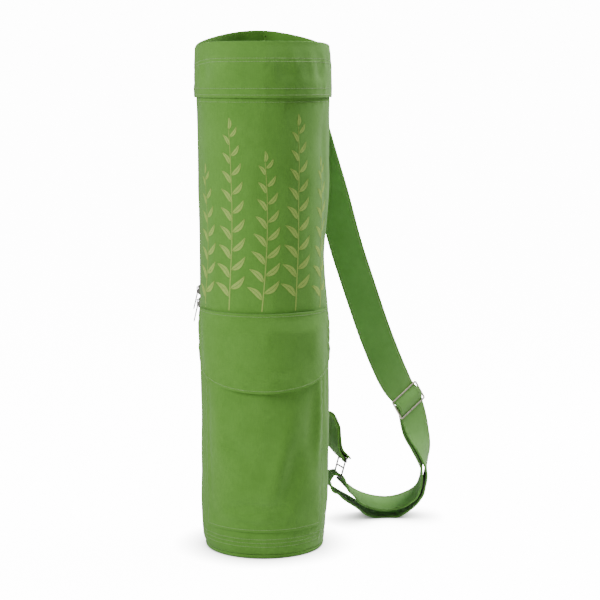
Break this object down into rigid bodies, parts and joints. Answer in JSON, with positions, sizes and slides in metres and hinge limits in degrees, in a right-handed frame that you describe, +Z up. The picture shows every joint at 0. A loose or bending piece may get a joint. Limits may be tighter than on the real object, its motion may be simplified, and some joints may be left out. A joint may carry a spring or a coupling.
{
  "type": "yoga mat bag",
  "caption": "Upright cotton canvas tube bag for a rolled exercise mat, open at the top, with a full-length side zip, a flapped cargo pocket and a slack adjustable shoulder strap.",
  "frame": {"origin": "middle of the round base's underside, on the floor", "axes": "+Z up along the tube, -Y towards the cargo pocket at the front, +X towards the side where the strap hangs"},
  "size_m": [0.3201, 0.256, 0.6669],
  "materials": {
    "green_canvas": "washed cotton twill, leaf green, matte",
    "green_canvas_shade": "washed cotton twill, slightly darker leaf green, matte",
    "green_tape": "woven zip tape, dark leaf green",
    "zip_coil": "dyed nylon coil",
    "dark_nickel": "gunmetal plating",
    "pale_nickel": "pale nickel plating"
  },
  "bodies": {
    "bag": {"body_wall": "green_canvas", "collar": "green_canvas", "base_panel": "green_canvas_shade", "cargo_pocket": "green_canvas", "pocket_flap": "green_canvas", "zip_tape": "green_tape", "zip_coil": "zip_coil", "zip_slider_upper": "dark_nickel", "zip_slider_lower": "dark_nickel", "shoulder_strap": "green_canvas", "lower_tab": "green_canvas", "slide_buckle": "pale_nickel", "ladder_ring": "dark_nickel"},
    "pull_upper": {"zip_pull_upper": "dark_nickel"},
    "pull_lower": {"zip_pull_lower": "dark_nickel"}
  },
  "joints": [
    {"name": "pull_upper_swing", "type": "hinge", "parent": "bag", "child": "pull_upper", "pos_m": [-0.08553, 0.01204, 0.3335], "axis": [0.1392, 0.9903, 0], "range_deg": [0, 150]},
    {"name": "pull_lower_swing", "type": "hinge", "parent": "bag", "child": "pull_lower", "pos_m": [-0.0854, 0.01204, 0.317], "axis": [0.1392, 0.9903, 0], "range_deg": [0, 150]}
  ],
  "couplings": [
    {"joint": "pull_lower_swing", "follows": "pull_upper_swing", "ratio": 1}
  ]
}
